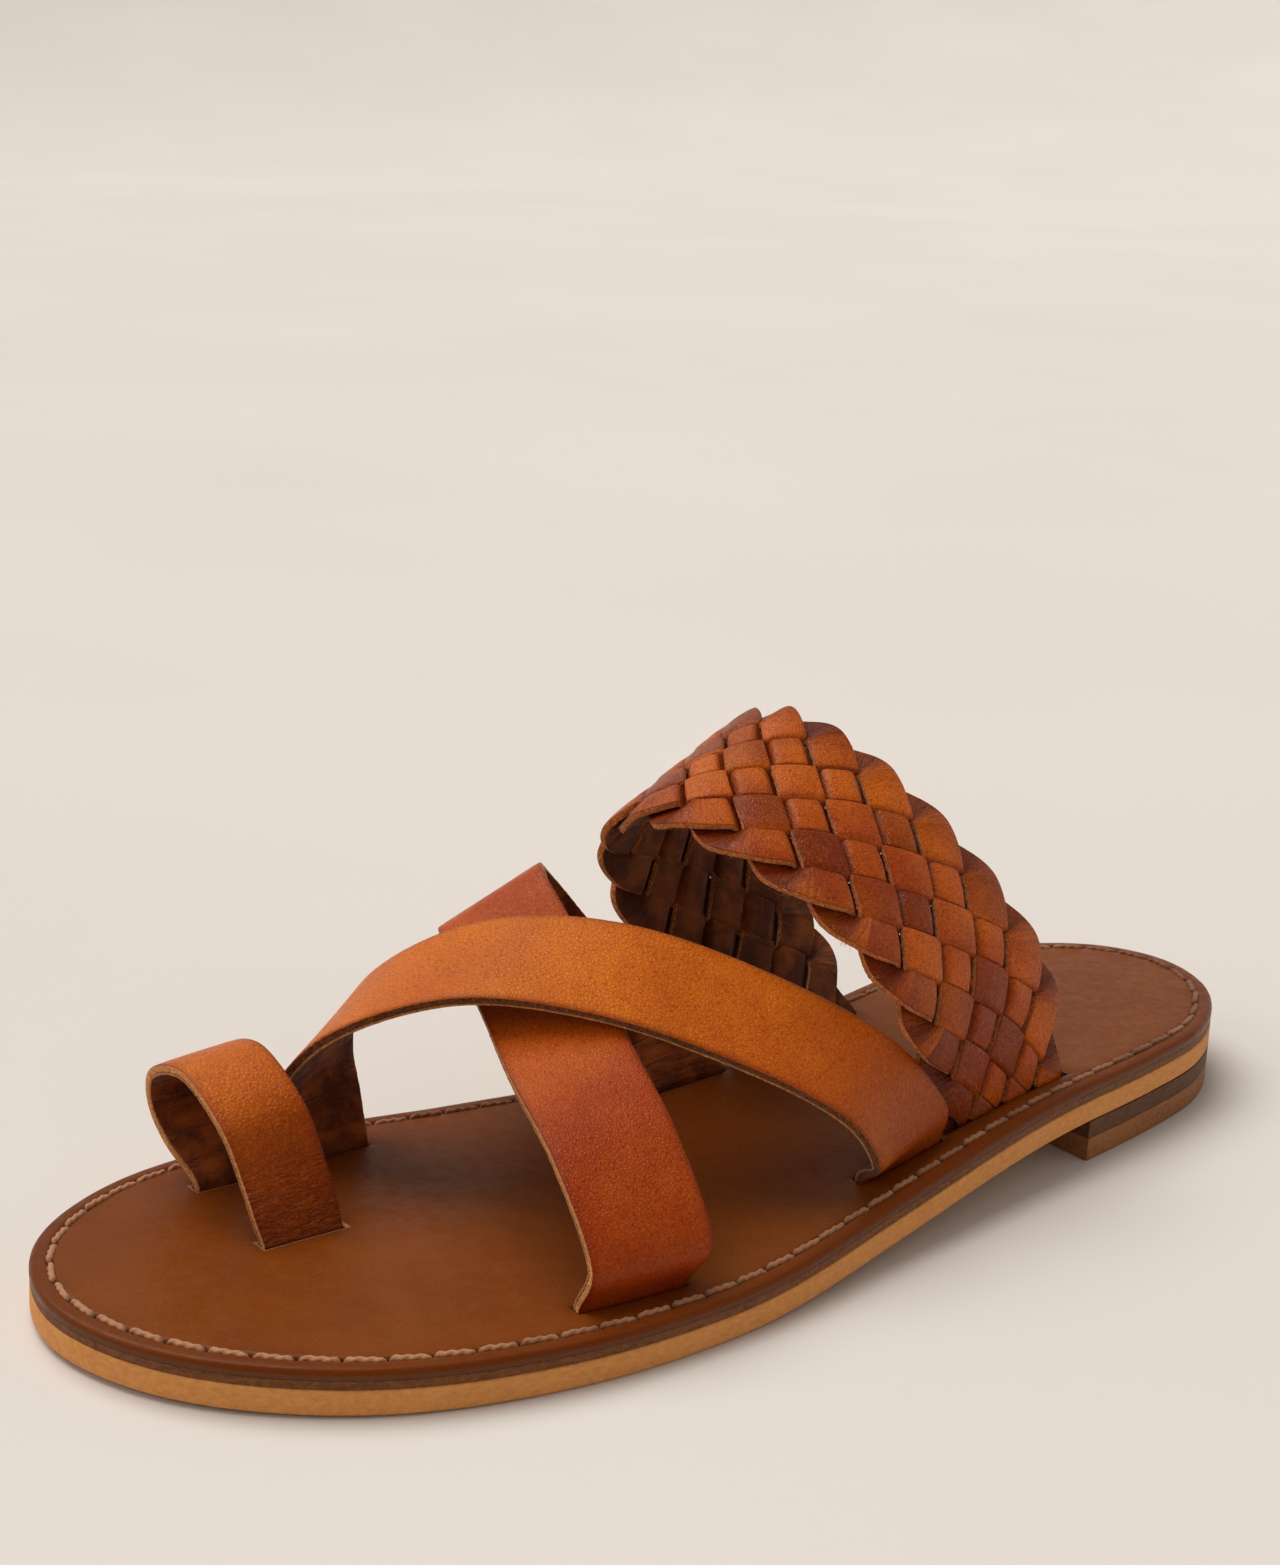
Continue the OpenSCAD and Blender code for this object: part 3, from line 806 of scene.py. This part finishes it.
def seam_piece():
    """Every stitch is a short twisted thread that dives into a hole at both ends."""
    steps, sides = 26, 12
    half = PITCH * STITCH_HALF
    g = np.linspace(-1, 1, steps)
    phi = np.arange(sides) / sides * 2 * np.pi
    points, faces, painted_hole_shades, painted_toe_light = [], [], [], []
    for i in range(STITCHES):
        s = PITCH * (i + 0.5) + g * half
        xy = seam_at(s)
        run = unit(seam_at(s + 0.2) - seam_at(s - 0.2))
        side = np.c_[run[:, 1], -run[:, 0]]
        xy = xy + side * (STITCH_SLANT * g + 0.05 * rng.standard_normal())[:, None]
        fall = np.clip((np.abs(g) - 0.72) / 0.28, 0, 1) ** 2
        z = top_z(xy[:, 1]) - THREAD_SINK + 0.06 * rng.standard_normal() - THREAD_DIVE * fall
        middle = np.c_[xy, z]
        tangent = unit(np.gradient(middle, axis=0))
        across = np.c_[side, np.zeros(steps)]
        up = unit(np.cross(across, tangent))
        up *= np.sign(up[:, 2:3])
        turn = g * STITCH_TWIST + rng.uniform(0, 6)
        r = THREAD_R * THREAD_SWELL * (0.93 + 0.17 * np.cos(2 * (phi[None] - turn[:, None])))
        r = r * (1 - 0.35 * fall[:, None])
        ring = (
            middle[:, None]
            + across[:, None] * (r * np.cos(phi))[..., None]
            + up[:, None] * (r * np.sin(phi))[..., None]
        )
        first = sum(len(p) for p in points)
        points.append(ring.reshape(-1, 3))
        faces += [[v + first for v in f] for f in tube(ring)]
        # painted shade where the thread dives into its hole
        painted_hole_shades.append(np.repeat(fall, sides))
        # painted highlight: the thread is drawn lighter towards the toe
        painted_toe_light.append(np.repeat(1 - ease(-95, -45, xy[:, 1]), sides))
    obj = build(
        "seam_stitches", np.vstack(points), faces, [seam_thread],
        marks={"painted_shade": np.concatenate(painted_hole_shades), "toe": np.concatenate(painted_toe_light)}, sharp=80,
    )  # fmt: skip
    return finish_piece(obj, ["sole_stitching"])


seam_piece()

# ---- flat straps ----------------------------------------------------------------------

STRAP_STEPS = 260  # stations along a strap
FACE_POINTS, BACK_POINTS = 31, 15  # points across a strap
EDGE_SHARES = (0.3, 0.6, 0.85)  # points down a cut edge, as shares of it
FRAY = 0.035  # unevenness of a cut edge
FACE_WAVE = 0.06  # unevenness of a strap's face


def stations(dive):
    """Curve positions along a strap and depths below the slot mouths at its ends."""
    t = np.concatenate([[0, 0], np.linspace(0, 1, STRAP_STEPS), [1, 1]])
    sink = np.concatenate([[dive, dive / 2], np.zeros(STRAP_STEPS), [dive / 2, dive]])
    return t, sink


def section(top, low, width_points, corner):
    """Cross-section of a strap layer as (side -1..1, step outward in mm, depth)
    and the kind of each side that starts there: 0 grain, 1 cut edge, 2 back."""
    rows, kinds = [], []
    wall = low - top - corner
    for x in np.linspace(-1, 1, width_points):
        rows.append((x, -corner * x, top))
        kinds.append(0)
    for a in np.radians([30, 60, 90]):
        rows.append((1, corner * (math.sin(a) - 1), top + corner * (1 - math.cos(a))))
        kinds.append(0)
    kinds[-1] = 1
    for share in EDGE_SHARES:
        rows.append((1, 0, top + corner + share * wall))
        kinds.append(1)
    for x in np.linspace(1, -1, BACK_POINTS):
        rows.append((x, -0.1 * x, low))
        kinds.append(2)
    kinds[-1] = 1
    for share in EDGE_SHARES[::-1]:
        rows.append((-1, 0, top + corner + share * wall))
        kinds.append(1)
    for a in np.radians([90, 60, 30]):
        rows.append((-1, -corner * (math.sin(a) - 1), top + corner * (1 - math.cos(a))))
        kinds.append(0)
    return np.array(rows), np.array(kinds)


def strap_layer(name, strap, top, low, dive, materials, nodes, creases, corner=0.3, crown=0.0,
                painted_light_spans=()):  # fmt: skip
    """One layer of a flat strap. creases is a list of (place, reach) along it, and
    tones of (place, reach, amount): painted highlight where the amount is positive,
    painted shade where it is negative."""
    t, sink = stations(dive)
    point, w, n = strap_frames(strap, t, sink)
    half = strap["width"] / 2 * width_share(strap["ends"], t)
    rows, kinds = section(top, low, FACE_POINTS, corner)
    across = half[:, None] * rows[None, :, 0] + rows[None, :, 1]
    depth = np.tile(rows[:, 2], (len(t), 1))
    gone = half[:, None] - np.abs(across)
    depth = depth + crown * np.exp(-gone / 0.9) + 0.25 * crown * rows[None, :, 0] ** 2
    walked = np.r_[0, np.cumsum(np.linalg.norm(np.diff(point, axis=0), axis=1))]
    wave = np.sin(walked / 7.0 + 1.0)[:, None] * np.cos(across / 6.0 + 0.7)
    depth = depth + FACE_WAVE * wave * (sink[:, None] == 0)
    fray = FRAY * rng.standard_normal(across.shape) * (kinds[None] == 1)
    across = across + fray
    ring = (
        point[:, None]
        + across[..., None] * w[:, None]
        - depth[..., None] * n[:, None]
    )
    faces = tube(ring)
    m = len(rows)
    face_kind = np.concatenate([np.tile(kinds, len(t) - 1), [1, 1]])
    edge = np.exp(-np.maximum(gone, 0) / 0.55) * (depth < top + corner)
    # creases: relief with painted shade in it
    crease_with_painted_shade = np.zeros(len(t))
    for place, reach in creases:
        crease_with_painted_shade = np.maximum(crease_with_painted_shade, fade(np.abs(t - place), reach))
    # painted highlight on the strap's top and painted shade towards its outer end, as the mark
    # "tone"
    tone = sum((v * fade(np.abs(t - at), reach) for at, reach, v in painted_light_spans), 0 * t)
    # painted shade on the strap where it dives into its slot
    mouth = fade(np.minimum(t, 1 - t) * walked[-1], 2.5) ** 2
    obj = build(
        name, ring.reshape(-1, 3), faces, materials, face_kind,
        uv=np.c_[np.repeat(walked, m), across.ravel()],
        marks={"edge": edge.ravel(), "crease_with_painted_shade": np.repeat(crease_with_painted_shade, m),
               "painted_shade": np.repeat(0.45 * mouth, m), "tone": np.repeat(tone, m)},
    )  # fmt: skip
    return finish_piece(obj, nodes)


def flat_strap(name, strap, grain, edge, creases, back_creases, painted_light_spans=()):
    strap_layer(
        f"{name}_grain_layer", strap, 0, GRAIN_T, DIVE, [grain, edge, back_brown],
        [name], creases, corner=0.2, crown=0.1, painted_light_spans=painted_light_spans,
    )  # fmt: skip
    strap_layer(
        f"{name}_back_layer", strap, LINING_TOP, STRAP_T, INSOLE_T - 0.2,
        [back_brown, edge_pale, back_brown], [f"{name}_lining"],
        back_creases, corner=0.12,
    )  # fmt: skip


# the last list of each strap paints a highlight on its top and shade towards its outer end
flat_strap(
    "toe_loop", TOE, tan_grain, edge_tan, [(1.0, 0.26), (0, 0.16)],
    [(0.2, 0.35), (0.9, 0.3)], [(0.5, 0.22, 0.5), (1.0, 0.5, -2.2)],
)  # fmt: skip
flat_strap(
    "over_strap", OVER, tan_grain, edge_brown, [], [(0.1, 0.35), (0.9, 0.2)],
    [(0.4, 0.28, 0.5), (0.95, 0.4, -1.1)],
)  # fmt: skip
flat_strap(
    "under_strap", UNDER, red_grain, edge_tan, [], [(0.1, 0.35), (0.9, 0.2)],
    [(0.52, 0.16, 0.9), (0.95, 0.35, -0.7)],
)  # fmt: skip

# ---- plait ------------------------------------------------------------------------------

STRAND_FIT = 1.035  # mean share of the CAD's width, so that no light shows between strands
STRAND_LEAN = 0.06  # share of its width that a strand gains running one way and loses the other
STRAND_STEPS = 16  # stations from one crossing to the next
STRAND_FRAY = 0.05
LONGER = 1.1  # how much longer the stretches on top are where a strand runs to the toe side
TUFT_FIBRES = 14
FIBRE_R = 0.05


def zig(k):
    """Sideways place of a strand: straight runs joined by rounded turns."""
    x = k - STRANDS * np.round(k / STRANDS)
    soft = np.where(np.abs(x) < 1, (x * x + 1) / 2, np.abs(x))
    return np.where(np.round(k / STRANDS) % 2 == 0, 1, -1) * (PLAIT_W / 2 - CROSS_STEP * soft)


def weave(k, longer):
    """Height of a strand, -1 under to 1 over, rising from under to over at a turn.
    longer makes the stretches that lie over others longer than those below."""
    r = k % STRANDS
    out = np.sin(np.pi * np.minimum(r, 0.5))
    back = -np.sin(np.pi * np.minimum(STRANDS - r, 0.5))
    mid = np.tanh(longer - 4 * np.cos(np.pi * r))
    return np.where(r < 1, out, np.where(r > STRANDS - 1, back, mid))


def plait_point(u, v, h):
    """Place of points u along the plait, v across it and h above its middle."""
    t = u / PLAIT_LEN
    tc = np.clip(t, 0, 1)
    sink = np.where(t < 0, -u, np.where(t > 1, u - PLAIT_LEN, 0))
    point, w, n = strap_frames(PLAIT, tc.ravel(), sink.ravel())
    share = width_share(PLAIT["ends"], tc).ravel()
    return (
        point
        + (v.ravel() * share)[:, None] * w
        + (h.ravel() - MID_DEPTH)[:, None] * n
    ).reshape(*u.shape, 3)


def strand_piece(index):
    """One flat strand with cut edges, bent over and under its neighbours."""
    start = 2 * (index - 1)
    run_out = 0.55
    k = np.arange(start - run_out, start + PLAIT_LEN / CROSS_STEP + run_out, 1 / STRAND_STEPS)
    rows, kinds = section(0, STRAND_T, 17, 0.2)
    side, step, deep = rows.T
    dv = (zig(k + 0.02) - zig(k - 0.02)) / 0.04
    run = unit(np.c_[-dv, np.full(len(k), CROSS_STEP)])
    tiles = np.floor(k + 0.5).astype(int)
    tile_tone = rng.uniform(-1, 1, tiles.max() - tiles.min() + 1)[tiles - tiles.min()]
    toeward = -dv / CROSS_STEP
    uneven = 0.012 * np.sin(k * 2.1 + index)
    half = STRAND_W / 2 * (STRAND_FIT + STRAND_LEAN * toeward + uneven)
    height = weave(k, LONGER * toeward)
    fray = STRAND_FRAY * rng.standard_normal((len(k), len(rows))) * (kinds == 1)
    out = side * half[:, None] + step + fray
    crown = 0.22 * (1 - side**2) * (1 - deep / STRAND_T)
    bend = 0.10 * height[:, None] * side**2
    h = WEAVE_RISE * height[:, None] + STRAND_T / 2 - deep + crown - bend
    u = ((k - start) * CROSS_STEP)[:, None] + out * run[:, :1]
    v = zig(k)[:, None] + out * run[:, 1:]
    ring = plait_point(u, v, h)
    face = kinds == 0
    turn = np.abs(k - STRANDS * np.round(k / STRANDS))
    # creases at the turns, with painted shade where the strand lies under its neighbours
    crease_with_painted_shade = np.maximum(fade(turn, 1.1) * 0.7, 0.2 * np.clip(1 - height, 0, 1))
    # painted shade where the strand dives under its neighbours, as the mark "dip"
    dive = np.clip(0.95 * (1 - np.abs(height)) + 0.7 * np.clip(-height, 0, 1), 0, 1)
    rim = np.clip((np.abs(side) - 0.9) / 0.1, 0, 1) * 0.2
    every = np.ones((len(k), len(rows)))
    walked = k * math.hypot(CROSS_STEP, CROSS_STEP) + 40 * index
    obj = build(
        f"plait_leather_{index}", ring.reshape(-1, 3), tube(ring),
        [plait_grain, edge_strand, back_plait],
        np.concatenate([np.tile(kinds, len(k) - 1), [1, 1]]),
        uv=np.c_[np.repeat(walked, len(rows)), out.ravel()],
        marks={"edge": (every * rim).ravel(), "crease_with_painted_shade": (every * crease_with_painted_shade[:, None]).ravel(),
               "painted_shade": (dive[:, None] * face).ravel(), "tone": (every * tile_tone[:, None]).ravel()},
    )  # fmt: skip
    return finish_piece(obj, [f"plait_strand_{index}"])


def fibre_piece():
    """Loose fibres that stand out of the cut edges where strands turn at the toe side."""
    points, faces = [], []
    sides, steps = 4, 5
    phi = np.arange(sides) / sides * 2 * np.pi
    circle = np.c_[np.cos(phi), np.sin(phi)]
    turns = np.arange(1, PLAIT_LEN / CROSS_STEP, 2) * CROSS_STEP
    edge_v = -(PLAIT_W / 2 - CROSS_STEP / 2 + STRAND_W / 2)
    for turn in turns[(turns > 0.25 * PLAIT_LEN) & (turns < 0.85 * PLAIT_LEN)]:
        for _ in range(TUFT_FIBRES):
            u = turn + rng.uniform(-2.4, 2.4)
            rise = rng.uniform(-0.5, 0.5)
            reach = rng.uniform(0.4, 1.3)
            lean, curl = rng.normal(0, 0.5, 2)
            f = np.linspace(0, 1, steps)
            back = 0.1 * (u - turn) ** 2
            bent = u + lean * f + curl * f * (1 - f)
            middle = plait_point(bent, edge_v + 0.25 + back - reach * f, rise - 0.5 * f**2)
            radius = FIBRE_R * (1 - 0.75 * f)[:, None, None]
            ring = middle[:, None] + radius * np.stack(
                [circle[:, 0], 0.7 * circle[:, 1], circle[:, 1]], -1
            )
            first = sum(len(p) for p in points)
            points.append(ring.reshape(-1, 3))
            faces += [[v + first for v in face] for face in tube(ring)]
    obj = build("plait_edge_fibres", np.vstack(points), faces, [edge_pale], sharp=180)
    return finish_piece(obj, None)


for number in range(1, STRANDS + 1):
    strand_piece(number)
fibre_piece()

# ---- camera, floor and light ---------------------------------------------------------------

CAMERA_AT = Vector((324, -283, 197)) * MM
AZIMUTH, ELEVATION, ROLL = (math.radians(a) for a in (51.1, 16.2, 2.5))
LENS, SENSOR = 61.3, 36

camera = bpy.data.objects.new("camera", bpy.data.cameras.new("camera"))
bpy.context.scene.collection.objects.link(camera)
bpy.context.scene.camera = camera
camera.data.sensor_width = SENSOR
camera.data.lens = LENS
camera.data.clip_start = 0.01
look = Vector((-math.sin(AZIMUTH) * math.cos(ELEVATION), math.cos(AZIMUTH) * math.cos(ELEVATION),
               -math.sin(ELEVATION)))  # fmt: skip
level = Vector((math.cos(AZIMUTH), math.sin(AZIMUTH), 0))
right = level * math.cos(ROLL) + level.cross(look) * math.sin(ROLL)
up = right.cross(look)
turned = Matrix((right, up, -look)).transposed().to_4x4()
camera.matrix_world = Matrix.Translation(CAMERA_AT) @ turned


def floor_piece():
    """A wide shallow bowl: flat under the object and curving up far from it."""
    flat, bend, steps = 2600.0, 3000.0, 24
    profile = [(r, 0.0) for r in (0.0, 300.0, 1000.0, flat)]
    profile += [
        (flat + bend * math.sin(a), bend * (1 - math.cos(a)))
        for a in np.radians(np.linspace(4, 78, steps))
    ]
    n = 96
    phi = np.arange(n) / n * 2 * np.pi
    points = [(0.0, 0.0, 0.0)]
    for r, z in profile[1:]:
        points += [(r * math.cos(p), r * math.sin(p), z) for p in phi]
    faces = [(0, 1 + i, 1 + (i + 1) % n) for i in range(n)]
    for row in range(len(profile) - 2):
        a, b = 1 + row * n, 1 + (row + 1) * n
        faces += [(a + i, b + i, b + (i + 1) % n, a + (i + 1) % n) for i in range(n)]
    s = Shade("pale_floor", 0.85)
    tone = s.noise(260, 2, 0.5)
    tint = s.mix(s.remap(tone, 0.3, 0.7), (0.735, 0.69, 0.645), (0.76, 0.715, 0.67))
    s.bump(s.noise(0.8, 3, 0.6), 0.02)
    obj = build("studio_floor", np.array(points), faces, [s.done(tint)], sharp=180)


floor_piece()


def from_view(sideways, above, toward):
    """A place given to the right of, above and towards the camera from the sandal."""
    flat = Vector((look.x, look.y, 0)).normalized()
    return level * sideways + Vector((0, 0, above)) - flat * toward


def sun(name, toward_light, power, spread, colour):
    lamp = bpy.data.lights.new(name, "SUN")
    lamp.energy = power
    lamp.angle = math.radians(spread)
    lamp.color = colour
    obj = bpy.data.objects.new(name, lamp)
    bpy.context.scene.collection.objects.link(obj)
    obj.rotation_mode = "QUATERNION"
    obj.rotation_quaternion = (-toward_light).to_track_quat("-Z", "Y")


sun("key_light", from_view(-0.35, 0.85, -0.25), 2.36, 50, (1.0, 0.975, 0.945))
sun("side_fill", from_view(-0.95, 0.35, 0.35), 1.2, 44, (1.0, 0.97, 0.94))
sun("front_fill", from_view(0.1, 0.7, 0.7), 0.12, 60, (1.0, 0.97, 0.94))

world = bpy.data.worlds.new("studio")
world.use_nodes = True
world.node_tree.nodes["Background"].inputs["Color"].default_value = (1.0, 0.975, 0.95, 1)
world.node_tree.nodes["Background"].inputs["Strength"].default_value = 0.22
bpy.context.scene.world = world
bpy.context.scene.view_settings.view_transform = "Standard"
